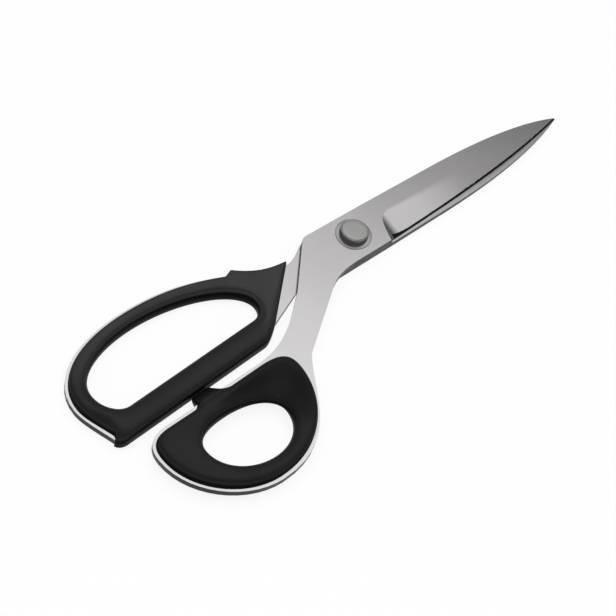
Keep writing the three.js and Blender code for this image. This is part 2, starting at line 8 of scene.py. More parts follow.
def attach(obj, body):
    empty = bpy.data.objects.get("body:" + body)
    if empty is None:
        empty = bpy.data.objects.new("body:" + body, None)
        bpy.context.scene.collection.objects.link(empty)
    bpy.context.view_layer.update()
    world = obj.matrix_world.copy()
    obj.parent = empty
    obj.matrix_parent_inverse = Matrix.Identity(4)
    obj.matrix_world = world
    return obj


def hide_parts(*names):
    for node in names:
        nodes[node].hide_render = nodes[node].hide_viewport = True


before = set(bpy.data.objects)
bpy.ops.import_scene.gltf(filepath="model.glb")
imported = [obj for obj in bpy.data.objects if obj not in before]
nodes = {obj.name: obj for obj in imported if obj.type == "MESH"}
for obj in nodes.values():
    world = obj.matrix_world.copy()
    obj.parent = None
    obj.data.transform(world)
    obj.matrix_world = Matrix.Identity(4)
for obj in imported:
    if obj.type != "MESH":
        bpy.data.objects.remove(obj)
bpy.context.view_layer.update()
scene = bpy.context.scene
scene.view_settings.view_transform = "Standard"
mm = 0.001
weldGap = 1e-6  # m, corners of the CAD meshes nearer than this are one
snapGap = 1e-7  # m, the same for corners made here
print("frame loaded:", sorted(nodes))


def placed(name, data):
    thing = bpy.data.objects.new(name, data)
    scene.collection.objects.link(thing)
    return thing


# camera, turned as the photograph was taken
cameraView = {
    "aim": (-42.75, -19.2, 8.5),  # mm, the point in the middle of the picture
    "heading": 34.84,  # degrees from +X to the way the lens looks
    "elevation": 52.81,  # degrees that the lens looks down
    "roll": -18.44,
    "distance": 680.0,  # mm
    "lens": 95.05,
    "sensor": 36.0,
    "clip": (0.01, 20.0),  # m
}


def makeCamera(view):
    heading, elevation, roll = (math.radians(view[key]) for key in ("heading", "elevation", "roll"))
    level = math.cos(elevation)
    ahead = Vector((math.cos(heading) * level, math.sin(heading) * level, -math.sin(elevation)))
    right = ahead.cross(Vector((0, 0, 1))).normalized()
    up = right.cross(ahead)
    cameraUp = up * math.cos(roll) + right * math.sin(roll)
    cameraRight = ahead.cross(cameraUp)
    data = bpy.data.cameras.new("photoCamera")
    data.lens = view["lens"]
    data.sensor_width = view["sensor"]
    data.clip_start, data.clip_end = view["clip"]
    camera = placed("photoCamera", data)
    spot = (Vector(view["aim"]) - ahead * view["distance"]) * mm
    turn = Matrix((cameraRight, cameraUp, -ahead)).transposed().to_4x4()
    camera.matrix_world = Matrix.Translation(spot) @ turn
    scene.camera = camera


makeCamera(cameraView)
print("camera set")


# node helpers, for materials, the world and the washers
class Tree:
    def __init__(self, tree):
        self.tree = tree

    def add(self, kind, **values):
        node = self.tree.nodes.new(kind)
        for key, value in values.items():
            if hasattr(node, key):
                setattr(node, key, value)
            else:
                node.inputs[key].default_value = value
        return node

    def link(self, source, target):
        self.tree.links.new(source, target)

    def ramp(self, source, places, values):
        node = self.add("ShaderNodeValToRGB")
        elements = node.color_ramp.elements
        while len(elements) < len(places):
            elements.new(0.5)  # it gets its own place below
        for element, place, value in zip(elements, places, values):
            element.position = place
            element.color = (value, value, value, 1)
        self.link(source, node.inputs["Fac"])
        return node.outputs["Color"]

    def noise(self, vector, scale, detail, roughness):
        node = self.add("ShaderNodeTexNoise", Scale=scale, Detail=detail, Roughness=roughness)
        self.link(vector, node.inputs["Vector"])
        return node.outputs["Fac"]

    def mapped(self, vector, scale, turn=(0, 0, 0)):
        node = self.add("ShaderNodeMapping", Scale=scale, Rotation=turn)
        self.link(vector, node.inputs["Vector"])
        return node.outputs["Vector"]

    def part(self, vector, axis):
        node = self.add("ShaderNodeSeparateXYZ")
        self.link(vector, node.inputs[0])
        return node.outputs[axis]

    def dot(self, vector, other):
        node = self.add("ShaderNodeVectorMath", operation="DOT_PRODUCT")
        self.link(vector, node.inputs[0])
        node.inputs[1].default_value = other
        return node.outputs["Value"]

    def math(self, operation, first, second):
        node = self.add("ShaderNodeMath", operation=operation)
        for socket, value in zip(node.inputs, (first, second)):
            if isinstance(value, (int, float)):
                socket.default_value = value
            else:
                self.link(value, socket)
        return node.outputs[0]

    def blend(self, first, second, share):
        rest = self.math("MULTIPLY", second, 1 - share)
        return self.math("ADD", self.math("MULTIPLY", first, share), rest)

    def grown(self, value, start, end, low, high):
        node = self.add("ShaderNodeMapRange", interpolation_type="SMOOTHSTEP")
        for key, amount in zip(("From Min", "From Max", "To Min", "To Max"), (start, end, low, high)):
            node.inputs[key].default_value = amount
        self.link(value, node.inputs["Value"])
        return node.outputs["Result"]


def newMaterial(name):
    material = bpy.data.materials.new(name)
    material.use_nodes = True
    material.node_tree.nodes.clear()
    return material


# what every surface of the shears has: colours mixed by a noise, roughness by another, a fine bump
def startSurface(name, metallic):
    material = newMaterial(name)
    tree = Tree(material.node_tree)
    coords = tree.add("ShaderNodeTexCoord").outputs["Object"]
    shader = tree.add("ShaderNodeBsdfPrincipled", Metallic=metallic)
    out = tree.add("ShaderNodeOutputMaterial")
    tree.link(shader.outputs["BSDF"], out.inputs["Surface"])
    return material, tree, coords, shader


def mixedColor(tree, noise, stops, colors):
    dark, light = colors
    tone = tree.add("ShaderNodeMix", data_type="RGBA")
    tone.inputs["A"].default_value = (*dark, 1)
    tone.inputs["B"].default_value = (*light, 1)
    tree.link(tree.ramp(noise, stops, (0.0, 1.0)), tone.inputs["Factor"])
    return tone.outputs["Result"]


def addRelief(tree, shader, height, strength, depth):
    bump = tree.add("ShaderNodeBump", Strength=strength, Distance=depth)
    tree.link(height, bump.inputs["Height"])
    tree.link(bump.outputs["Normal"], shader.inputs["Normal"])


# steel: satin grain along one direction and faint cloudiness
steelNoise = {
    "grain": (5, 0.7), "cloud": (3, 0.5),  # detail and roughness of each noise
    "grainShare": 0.55,  # of the colour, the rest is cloud
    "toneStops": (0.36, 0.64), "roughStops": (0.3, 0.7),  # noise levels where a change begins and ends
    "depth": 0.00004,  # m
}


def steelMaterial(name, look):
    material, tree, coords, shader = startSurface(name, 1.0)
    turn = (0, 0, math.radians(look["grainTurn"]))
    grain = tree.noise(tree.mapped(coords, look["grain"], turn), 1.0, *steelNoise["grain"])
    cloud = tree.noise(coords, look["cloudScale"], *steelNoise["cloud"])
    mixed = tree.blend(grain, cloud, steelNoise["grainShare"])
    color = mixedColor(tree, mixed, steelNoise["toneStops"], look["colors"])
    if "paintedShade" in look:  # painted shade: the colour darkens from one place to another along the blade, standing in for a dimmer reflection
        (near, dim), (far, full) = look["paintedShade"]
        scaled = tree.add("ShaderNodeVectorMath", operation="SCALE")
        tree.link(color, scaled.inputs[0])
        level = tree.grown(tree.part(coords, "X"), near * mm, far * mm, dim, full)
        tree.link(level, scaled.inputs["Scale"])
        color = scaled.outputs["Vector"]
    tree.link(color, shader.inputs["Base Color"])
    tree.link(tree.ramp(grain, steelNoise["roughStops"], look["roughness"]), shader.inputs["Roughness"])
    addRelief(tree, shader, grain, look["bump"], steelNoise["depth"])
    return material


satinColors = ((0.605, 0.588, 0.590), (0.655, 0.637, 0.639))
flatSteel = steelMaterial("satinFlatSteel", {
    "colors": satinColors,
    "grain": (120, 2600, 400), "grainTurn": 0, "cloudScale": 45,
    "roughness": (0.13, 0.18), "bump": 0.04,
})
groundSteel = steelMaterial("groundBevelSteel", {
    # painted shade on the bevel: darker nearer the pivot, full colour further out
    "colors": satinColors, "paintedShade": ((44, 0.91), (74, 1.0)),  # mm from the pivot, and a factor
    "grain": (2600, 140, 400), "grainTurn": 8, "cloudScale": 60,
    "roughness": (0.14, 0.19), "bump": 0.03,
})
# painted shade: the side walls' steel is near black, standing in for the dark reflection they show
wallShadeSteel = steelMaterial("paintedShadeWallSteel", {
    "colors": ((0.022, 0.0217, 0.0214), (0.036, 0.0355, 0.035)),
    "grain": (900, 900, 250), "grainTurn": 0, "cloudScale": 120,
    "roughness": (0.34, 0.5), "bump": 0.25,
})
# painted shade: the honed edge's steel is near black, standing in for its dark reflection
edgeShadeSteel = steelMaterial("paintedShadeEdgeSteel", {
    "colors": ((0.018, 0.0178, 0.0176), (0.03, 0.0295, 0.029)),
    "grain": (3000, 300, 300), "grainTurn": 0, "cloudScale": 90,
    "roughness": (0.16, 0.26), "bump": 0.08,
})


# turned steel for the pivot: fine rings round the axis
turnedNoise = {
    "rings": (3, 0.6), "blur": (2, 0.5),  # detail and roughness of each noise
    "blurScale": 160, "ringShare": 0.7,
    "toneStops": (0.35, 0.65), "roughStops": (0.3, 0.7),
    "bump": 0.1, "depth": 0.00003,  # m
}


def turnedMaterial(name, look):
    material, tree, coords, shader = startSurface(name, 1.0)
    radius = tree.add("ShaderNodeVectorMath", operation="LENGTH")
    tree.link(tree.mapped(coords, (1, 1, 0)), radius.inputs[0])
    place = tree.add("ShaderNodeCombineXYZ")
    tree.link(radius.outputs["Value"], place.inputs["X"])
    tree.link(tree.part(coords, "Z"), place.inputs["Y"])
    stretched = tree.mapped(place.outputs["Vector"], (look["rings"], look["rings"], 1))
    rings = tree.noise(stretched, 1.0, *turnedNoise["rings"])
    blur = tree.noise(coords, turnedNoise["blurScale"], *turnedNoise["blur"])
    mixed = tree.blend(rings, blur, turnedNoise["ringShare"])
    color = mixedColor(tree, mixed, turnedNoise["toneStops"], look["colors"])
    tree.link(color, shader.inputs["Base Color"])
    tree.link(tree.ramp(rings, turnedNoise["roughStops"], look["roughness"]), shader.inputs["Roughness"])
    addRelief(tree, shader, rings, turnedNoise["bump"], turnedNoise["depth"])
    return material


buttonSteel = turnedMaterial("turnedButtonSteel", {
    "colors": ((0.54, 0.535, 0.53), (0.63, 0.625, 0.62)), "rings": 2600, "roughness": (0.3, 0.42),
})
# painted shade: the button's side is dark turned steel, standing in for the dark reflection round its foot
flankShadeSteel = turnedMaterial("paintedShadeFlankSteel", {
    "colors": ((0.13, 0.129, 0.128), (0.18, 0.179, 0.178)), "rings": 1500, "roughness": (0.32, 0.45),
})
washerSteel = turnedMaterial("washerSteel", {
    "colors": ((0.58, 0.57, 0.56), (0.66, 0.65, 0.64)), "rings": 1800, "roughness": (0.28, 0.4),
})
springSteel = turnedMaterial("springWasherSteel", {
    "colors": ((0.36, 0.355, 0.35), (0.46, 0.455, 0.45)), "rings": 900, "roughness": (0.34, 0.5),
})


# grip elastomer: near black, fine mould grain, slightly polished where hands rub
gripLook = {
    "colors": ((0.0026, 0.0026, 0.0028), (0.0042, 0.0042, 0.0044)),
    "grain": (2600, 3, 0.6), "worn": (60, 3, 0.5),  # scale, detail and roughness of each noise
    "grainShare": 0.5, "toneStops": (0.35, 0.7), "roughStops": (0.3, 0.7),
    "roughness": (0.44, 0.36), "specular": (0.04, 1.0),  # walls stay as moulded, tops get polished
    "bump": 0.10, "depth": 0.00005,  # m
}


def gripMaterial(name, look):
    material, tree, coords, shader = startSurface(name, 0.0)
    grain, worn = tree.noise(coords, *look["grain"]), tree.noise(coords, *look["worn"])
    tree.link(mixedColor(tree, worn, look["toneStops"], look["colors"]), shader.inputs["Base Color"])
    mixed = tree.blend(grain, worn, look["grainShare"])
    tree.link(tree.ramp(mixed, look["roughStops"], look["roughness"]), shader.inputs["Roughness"])
    polish = tree.add("ShaderNodeAttribute", attribute_name="polish").outputs["Fac"]
    tree.link(tree.ramp(polish, (0.0, 1.0), look["specular"]), shader.inputs["Specular IOR Level"])
    addRelief(tree, shader, grain, look["bump"], look["depth"])
    return material


gripBlack = gripMaterial("gripElastomer", gripLook)
print("materials made")


# flat curve helpers, in mm
curveSteps = 40


def bezier(start, first, second, end):
    share = np.linspace(0, 1, curveSteps + 1)[1:, None]
    rest = 1 - share
    start, first, second, end = (np.array(point, float) for point in (start, first, second, end))
    near = rest ** 3 * start + 3 * rest ** 2 * share * first
    return near + 3 * rest * share ** 2 * second + share ** 3 * end


# a part of a line is one end point, or two handles and an end point
def drawn(start, parts):
    points = [np.array([start], float)]
    for part in parts:
        here = points[-1][-1]
        if len(part) == 3:
            points.append(bezier(here, *part))
        else:
            points.append(np.linspace(here, part[0], curveSteps + 1)[1:])
    return np.vstack(points)


def shifted(point, offset):
    return (point[0] + offset[0], point[1] + offset[1])


def marked(points, wrap):
    return np.column_stack([points, np.full(len(points), float(wrap))])


def evenly(loop, spacing):
    closed = np.vstack([loop, loop[:1]])
    gaps = np.hypot(*np.diff(closed, axis=0).T)
    along = np.concatenate([[0], np.cumsum(gaps)])
    count = int(round(along[-1] / spacing))
    spots = np.linspace(0, along[-1], count, endpoint=False)
    return np.stack([np.interp(spots, along, column) for column in closed.T], axis=1)


def circularSmooth(values, width):
    kernel = np.hanning(2 * width + 3)[1:-1]
    kernel /= kernel.sum()
    padded = np.concatenate([values[-width:], values, values[:width]])
    return np.convolve(padded, kernel, "valid")


def nearestOn(loop, targets):
    spans = np.roll(loop, -1, axis=0) - loop
    lengths = (spans ** 2).sum(1)
    offsets = targets[:, None, :] - loop[None]
    share = np.clip((offsets * spans[None]).sum(2) / lengths[None], 0, 1)
    spots = loop[None] + spans[None] * share[..., None]
    distances = ((spots - targets[:, None, :]) ** 2).sum(2)
    return spots[np.arange(len(targets)), distances.argmin(1)]


def smoothStep(share):
    share = np.clip(share, 0, 1)
    return share * share * (3 - 2 * share)


# 0 at the start and 1 after the run; with a negative run it grows downwards
def grown(value, start, run):
    return smoothStep((value - start) / run)


def between(low, high, share):
    return low + (high - low) * share


# cuts the corners of an open line, and so rounds it
def softened(points, rounds, cut):
    for _ in range(rounds):
        near, far = points[:-1], points[1:]
        pairs = np.stack([near * (1 - cut) + far * cut, near * cut + far * (1 - cut)], axis=1)
        points = np.vstack([points[:1], pairs.reshape(-1, 2)[1:-1], points[-1:]])
    return points


# what both grips share, mm; points of a section are shares of a width and of a height
gripSizes = {
    "plate": 3.0, "pad": 2.4, "spacing": 0.9,
    "exposed": ((0.04, 0.45), (0.28, 0.84)),  # flank that stands on the plate
    "wrapped": ((0.0, 0.42), (0.1, 0.72), (0.42, 0.93)),  # flank that covers the plate's edge
    "roll": ((0.4, 0.86), (0.06, 0.45)),  # from the lip down into the hole
    "flankMost": 0.55, "lipMost": 0.36,  # shares of the band's width
    "lean": 0.1, "leanFrom": (1.5, 4.0),  # a wide flank rises less
    "softening": (2, 0.25),  # rounds, and the share cut off at each corner
    "nubLeast": 0.01, "holeSpread": 6,  # stations that the line of the hole is evened over
    "spreads": {"wrap": 7, "outer": 7, "dish": 4, "fall": 4, "lip": 4, "shine": 9},  # and the sections
    "topPolish": (0.5, 0.4), "underPolish": (0.8, 0.2),  # how level a polished face is, and a run
}


# half of a section from the outer edge to the hole, then mirrored below the plate
def gripSection(width, station, sizes):
    outer = min(station["outer"], width * sizes["flankMost"]) + station["nubReach"] * station["nub"]
    lip = min(station["lip"], width * sizes["lipMost"])
    foot, pad = sizes["plate"] / 2, sizes["pad"]
    crest = foot + pad
    lipTop = crest - station["fall"]
    steep = 1 - sizes["lean"] * grown(station["outer"], *sizes["leanFrom"])
    exposed = [(outer * across, foot + pad * up * steep) for across, up in sizes["exposed"]]
    exposed = np.array([(0, 0), (0, foot), *exposed, (outer, crest)])
    wrapped = [(outer * across, crest * up) for across, up in sizes["wrapped"]]
    wrapped = np.array([(0, 0), *wrapped, (outer, crest)])
    flank = exposed * (1 - station["wrap"]) + wrapped * station["wrap"]
    inner = [((outer + width - lip) / 2, crest - station["dish"]), (width - lip, lipTop)]
    inner += [(width - lip * left, lipTop * up) for left, up in sizes["roll"]]
    top = softened(np.vstack([flank, inner, [(width, 0)]]), *sizes["softening"])
    under = top[1:-1][::-1] * (1, -1)
    return np.vstack([top, under])


def ringMesh(name, rings, shine, sizes):
    count, ringSize = len(rings), len(rings[0])
    faces = []
    for ring in range(count):
        here, there = ring * ringSize, (ring + 1) % count * ringSize
        for spot in range(ringSize):
            across = (spot + 1) % ringSize
            faces.append((here + spot, there + spot, there + across, here + across))
    mesh = bpy.data.meshes.new(name)
    mesh.from_pydata((np.vstack(rings) * mm).tolist(), [], faces)
    draft = bmesh.new()
    draft.from_mesh(mesh)
    bmesh.ops.recalc_face_normals(draft, faces=draft.faces)
    draft.to_mesh(mesh)
    draft.free()
    mesh.shade_smooth()
    mesh.materials.append(gripBlack)
    facing = np.array([normal.vector.z for normal in mesh.vertex_normals])
    top, under = grown(facing, *sizes["topPolish"]), grown(-facing, *sizes["underPolish"])
    polish = mesh.attributes.new("polish", "FLOAT", "POINT")
    polish.data.foreach_set("value", np.where(facing > 0, top, under) * np.repeat(shine, ringSize))
    return placed(name, mesh)


# the bar between the bows; the thumb bow hangs from its outer face
bar = {"innerY": 12.8, "width": 12.0, "tilt": 4.3, "midX": -100.4, "wrap": 2.3}


def barInner(x):
    return -bar["innerY"] + (x - bar["midX"]) * math.tan(math.radians(bar["tilt"]))


def barOuter(x):
    return barInner(x) - bar["width"] / math.cos(math.radians(bar["tilt"]))


def onInner(x):
    return (x, barInner(x))


def onOuter(x):
    return (x, barOuter(x))


# the pad runs smoothly round a tight corner, and its edge and its hole stay
def easeCorner(rings, corners, easing):
    corner = shifted(onOuter(easing["x"]), (0, easing["above"]))
    share = np.exp(-((corners - corner) ** 2).sum(1) / easing["area"])[:, None]
    across = np.hypot(*np.moveaxis(rings[:, :, :2] - corners[:, None], 2, 0))
    depth = across / across.max(1, keepdims=True)
    inside = smoothStep(np.minimum(depth, 1 - depth) / easing["margin"])
    for axis, held in ((0, inside), (1, inside), (2, 1.0)):
        columns = rings[:, :, axis].T
        even = np.stack([circularSmooth(column, easing["spread"]) for column in columns], axis=1)
        rings[:, :, axis] += (even - rings[:, :, axis]) * share * held


# sections from the outline to the nearest point of the hole, joined to one ring
def buildGrip(name, outline, hole, middle, shapeAt, easing=None):
    sizes = gripSizes
    loop = evenly(outline, sizes["spacing"])
    corners = loop[:, :2]
    inner = nearestOn(hole, corners)
    evened = np.stack([circularSmooth(column, sizes["holeSpread"]) for column in inner.T], axis=1)
    inner = nearestOn(hole, evened)
    stations = [{"wrap": wrap, **shapeAt(spot, wrap)} for spot, wrap in zip(corners, loop[:, 2])]
    for key, spread in sizes["spreads"].items():
        values = circularSmooth(np.array([station[key] for station in stations], float), spread)
        for station, value in zip(stations, values):
            station[key] = value
    rings = []
    for spot, end, station in zip(corners, inner, stations):
        width = np.hypot(*(end - spot))
        section = gripSection(width, station, sizes)
        height = section[:, 1]
        if station["nub"] > 0:  # the stop nub slopes down to the middle of the bar
            root = station["nubRoot"] * station["nub"] + sizes["nubLeast"]
            lowered = station["nub"] * (1 - smoothStep(section[:, 0] / root))
            height = height * (1 - lowered * station["nubThin"]) - station["nubDrop"] * lowered
        flat = spot + (end - spot) / width * section[:, :1]
        rings.append(np.column_stack([flat, height + middle]))
    rings = np.array(rings)
    if easing:
        easeCorner(rings, corners, easing)
    return ringMesh(name, rings, np.array([station["shine"] for station in stations]), sizes)


# mm; a handle or a point that hangs on another one is an offset from it
fingerGrip = {
    "middle": 3.9, "rim": 1.3, "tailBand": 9.8, "archBand": 7.6,
    "holeFront": -58.9, "holeLength": 83.0, "holeTop": 14.9, "holeMid": -3.7,
    "holeCrown": 0.54,  # share of the hole's length ahead of its highest point
    "holeBar": (6.0, 10.0),  # the straight lower edge stops this far from the front and from the tail
    "holeFrontRound": (0.5, 0.53), "holeTailRound": (0.57, 0.57),  # handles as shares of rise and run
    "holeFrontTurn": (3.5, 4.0), "holeTailTurn": (5.5, 6.5),  # handles along the bar and down
    "archTop": -1.8, "archFront": (-3.7, -8.1), "archStart": 1.4,
    "archHandles": ((-10.0, 3.2), 17.0), "tailRound": 0.6,
    "tailDrop": (1.7, 6.7), "tailLow": (5.3, 1.3), "tailLift": 1.0, "tailHandle": (-2.4, 7.0),
    "guardTip": (-33.6, 5.6), "guardPeak": (5.4, 0.4), "guardHandles": ((-9.5, 0.3), (7.6, -6.2)),
    "corner": (-0.6, -0.6), "cornerHandles": ((0.3, -1.6), (-2.4, -0.1)),
    "barTail": 9.4, "barFront": -8.6, "low": (-56.6, -15.6), "lowHandles": (3.0, (-3.4, -2.9)),
    "frontStart": (1.0, 1.0), "frontEnd": (-0.3, -0.7),
    "outer": {"arch": 1.0, "tail": 2.6, "corner": 4.4, "bar": 4.2, "front": 3.4, "guard": 1.5},
    "outerTail": (12.0, -16.0), "outerCorner": (-7.0, -11.0),  # heights and runs where the flank gets wider
    "pull": {"most": 1.6, "x": 4.7, "above": 3.0, "area": 40.0},  # the crest swings wide at the tail
    "dish": 0.04, "fall": {"arch": 0.2, "bar": 0.4}, "lip": 2.8,
    "shine": {"arch": 0.95, "front": 1.1, "bar": 0.56, "tail": 0.5},
    "shineArch": (1.0, 17.0), "shineFront": (-66.0, 12.0),  # places and runs where the shine grows
    "easing": {"x": -147.0, "above": 3.0, "area": 60.0, "margin": 0.15, "spread": 9},
}


def fingerHoleLoop(sizes):
    front, top, mid, length = (sizes[key] for key in ("holeFront", "holeTop", "holeMid", "holeLength"))
    reach = length * sizes["holeCrown"]
    tail, topX = front - length, front - reach
    rise, tailReach = top - mid, length - reach
    barFront, barTail = front - sizes["holeBar"][0], tail + sizes["holeBar"][1]
    frontRise, frontRun = sizes["holeFrontRound"]
    tailRise, tailRun = sizes["holeTailRound"]
    frontTurn, frontDrop = sizes["holeFrontTurn"]
    tailTurn, tailDrop = sizes["holeTailTurn"]
    return drawn((front, mid), [
        ((front, mid + rise * frontRise), (topX + reach * frontRun, top), (topX, top)),
        ((topX - tailReach * tailRun, top), (tail, mid + rise * tailRise), (tail, mid)),
        ((tail, mid - tailDrop), onInner(barTail - tailTurn), onInner(barTail)),
        (onInner(barFront),),
        (onInner(barFront + frontTurn), (front, mid - frontDrop), (front, mid)),
    ])[:-1]


def fingerTailX(sizes):
    return sizes["holeFront"] - sizes["holeLength"] - sizes["tailBand"]


def fingerOutline(sizes):
    rim, mid, guardTip, low = (sizes[key] for key in ("rim", "holeMid", "guardTip", "low"))
    tailX = fingerTailX(sizes)
    topX, topY = bar["midX"] + sizes["archTop"], sizes["holeTop"] + sizes["archBand"]
    archLow, tail = topY - rim, tailX + rim
    archFront = shifted((sizes["holeFront"], topY), sizes["archFront"])
    guardPeak = shifted(archFront, sizes["guardPeak"])
    lowAlong, lowAbove = sizes["tailLow"]
    tailLow = (tailX + lowAlong, barOuter(tailX + lowAlong) + bar["wrap"] + lowAbove)
    tailEnd = shifted(tailLow, (rim, sizes["tailLift"]))
    tipHandle, peakHandle = sizes["guardHandles"]
    guard = drawn(guardTip, [(shifted(guardTip, tipHandle), shifted(guardPeak, peakHandle), guardPeak)])
    frontHandle, topHandle = sizes["archHandles"]
    tailTop, tailHandle = sizes["tailDrop"]
    run, rise = (tail - topX) * sizes["tailRound"], (archLow - mid) * sizes["tailRound"]
    arch = drawn(shifted(archFront, (sizes["archStart"], -rim)), [
        (shifted(archFront, frontHandle), (topX + topHandle, archLow), (topX, archLow)),
        ((topX + run, archLow), (tail, mid + rise), (tail, mid - tailTop)),
        ((tail, mid - tailHandle), shifted(tailEnd, sizes["tailHandle"]), tailEnd),
    ])
    corner, barTail = shifted(tailLow, sizes["corner"]), onOuter(tailX + sizes["barTail"])
    barFront = sizes["holeFront"] + sizes["barFront"]
    cornerHandle, barHandle = sizes["cornerHandles"]
    alongBar, lowHandle = sizes["lowHandles"]
    grip = drawn(corner, [
        (shifted(corner, cornerHandle), shifted(barTail, barHandle), barTail),
        (onOuter(barFront),),
        (onOuter(barFront + alongBar), shifted(low, lowHandle), low),
    ])
    front = drawn(shifted(low, sizes["frontStart"]), [(shifted(guardTip, sizes["frontEnd"]),)])
    return np.vstack([marked(guard, 1), marked(arch, 0), marked(grip, 1), marked(front, 0)])


def fingerShape(spot, wrap):
    x, y = spot
    sizes, reach, rubbed, pull = fingerGrip, fingerGrip["outer"], fingerGrip["shine"], fingerGrip["pull"]
    covered, ahead = wrap > 0.5, x > sizes["holeFront"]  # covered: the pad goes round the plate's edge
    low = covered and y < 0
    if covered:
        outer = reach["bar"] if low else reach["guard"]
    elif ahead:
        outer = reach["front"]
    else:
        outer = between(reach["arch"], reach["tail"], grown(y, *sizes["outerTail"]))
        outer += (reach["corner"] - reach["tail"]) * grown(y, *sizes["outerCorner"])
    pullX = fingerTailX(sizes) + pull["x"]
    distance = (x - pullX) ** 2 + (y - barOuter(pullX) - pull["above"]) ** 2
    outer += pull["most"] * math.exp(-distance / pull["area"])
    if low or ahead:
        shine = between(rubbed["bar"], rubbed["front"], grown(x, *sizes["shineFront"]))
    else:
        shine = between(rubbed["tail"], rubbed["arch"], grown(y, *sizes["shineArch"]))
    fall = sizes["fall"]["bar" if low else "arch"]
    return {
        "outer": outer, "dish": sizes["dish"], "fall": fall, "lip": sizes["lip"], "shine": shine,
        "nub": 0.0, "nubReach": 0.0,
    }


fingerPiece = buildGrip(
    "fingerGripMoulding", fingerOutline(fingerGrip), fingerHoleLoop(fingerGrip), fingerGrip["middle"],
    fingerShape, fingerGrip["easing"],
)
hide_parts("finger_grip")
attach(fingerPiece, "finger_lever")

# mm, with offsets as above
thumbGrip = {
    "middle": 7.0, "rim": 1.5, "bowGap": 5.0, "depth": 44.4,
    "bowX": -103.3, "tailReach": 35.7, "front": -64.6,
    "rimTail": 0.67, "rimFront": (25.0, 2.5),  # ends of the straight rim: share of the reach, and an offset
    "holeX": -101.4, "holeLength": 39.2, "holeDepth": 25.9, "topBand": 8.8,
    "holeTop": -2.0, "holeLow": 1.4,  # the hole's highest and lowest points, from its middle
    "holeFront": 0.45, "holeTail": 0.36,  # heights of its ends, shares of its depth
    "holeRound": 0.55, "holeFrontRise": 0.6, "holeTailRun": 0.62, "holeTailRise": 0.66,  # its handles, shares
    "frontDrop": 7.2, "frontHandle": 16.0, "lowHandle": 25.0, "lowRound": 0.51,
    "tailHeight": 0.25, "tailRound": 0.52, "tailHandle": 6.4, "rimHandle": (-8.0, -0.4),
    "topHandles": ((-4.0, 0.4), -1.6),
    "nubX": -105.0, "nubWidth": 9.4, "stopGap": 0.3, "nubDrop": 3.0, "nubHalf": 2.5, "nubRoot": 8.0,
    "nubRound": 0.6, "nubTail": (4.0, 1.2), "nubFront": (6.0, 1.8),  # feet on the rim, and their handles
    "nubTailTop": (-0.8, -2.0), "nubFrontTop": (0.6, -1.8),
    "outer": 3.0, "sideOuter": 2.0, "dish": (0.12, 1.4), "fall": (0.4, 2.1), "lip": 2.2,
    "shine": 0.46, "dishShine": 0.28, "sideShine": 0.24,
    "dishX": (-112.0, 30.0), "dishY": (-68.0, 24.0),  # places and runs where the dish grows deep
    "sideX": (-82.0, 14.0), "sideY": (-34.0, -8.0),  # and where the bow's side begins
}
thumbRimX = thumbGrip["bowX"] - thumbGrip["tailReach"] * thumbGrip["rimTail"]
thumbRimY = barOuter(thumbRimX) - thumbGrip["bowGap"]


def thumbHoleLoop(sizes):
    middle, length, depth, bend = (sizes[key] for key in ("holeX", "holeLength", "holeDepth", "holeRound"))
    top = thumbRimY - sizes["topBand"]
    bottom = top - depth
    tail, front = middle - length / 2, middle + length / 2
    topX, lowX = middle + sizes["holeTop"], middle + sizes["holeLow"]
    tailY, frontY = top - depth * sizes["holeTail"], top - depth * sizes["holeFront"]
    frontUp = between(frontY, top, sizes["holeFrontRise"])
    tailUp = between(tailY, top, sizes["holeTailRise"])
    return drawn((front, frontY), [
        ((front, frontUp), (between(topX, front, bend), top), (topX, top)),
        ((between(topX, tail, sizes["holeTailRun"]), top), (tail, tailUp), (tail, tailY)),
        ((tail, between(tailY, bottom, bend)), (between(lowX, tail, bend), bottom), (lowX, bottom)),
        ((between(lowX, front, bend), bottom), (front, between(frontY, bottom, bend)), (front, frontY)),
    ])[:-1]


def onThumbRim(x):
    run, rise = thumbGrip["rimFront"]
    ends = (thumbRimX, thumbGrip["bowX"] + run)
    heights = (thumbRimY - thumbGrip["rim"], thumbRimY + rise - thumbGrip["rim"])
    return (x, float(np.interp(x, ends, heights)))


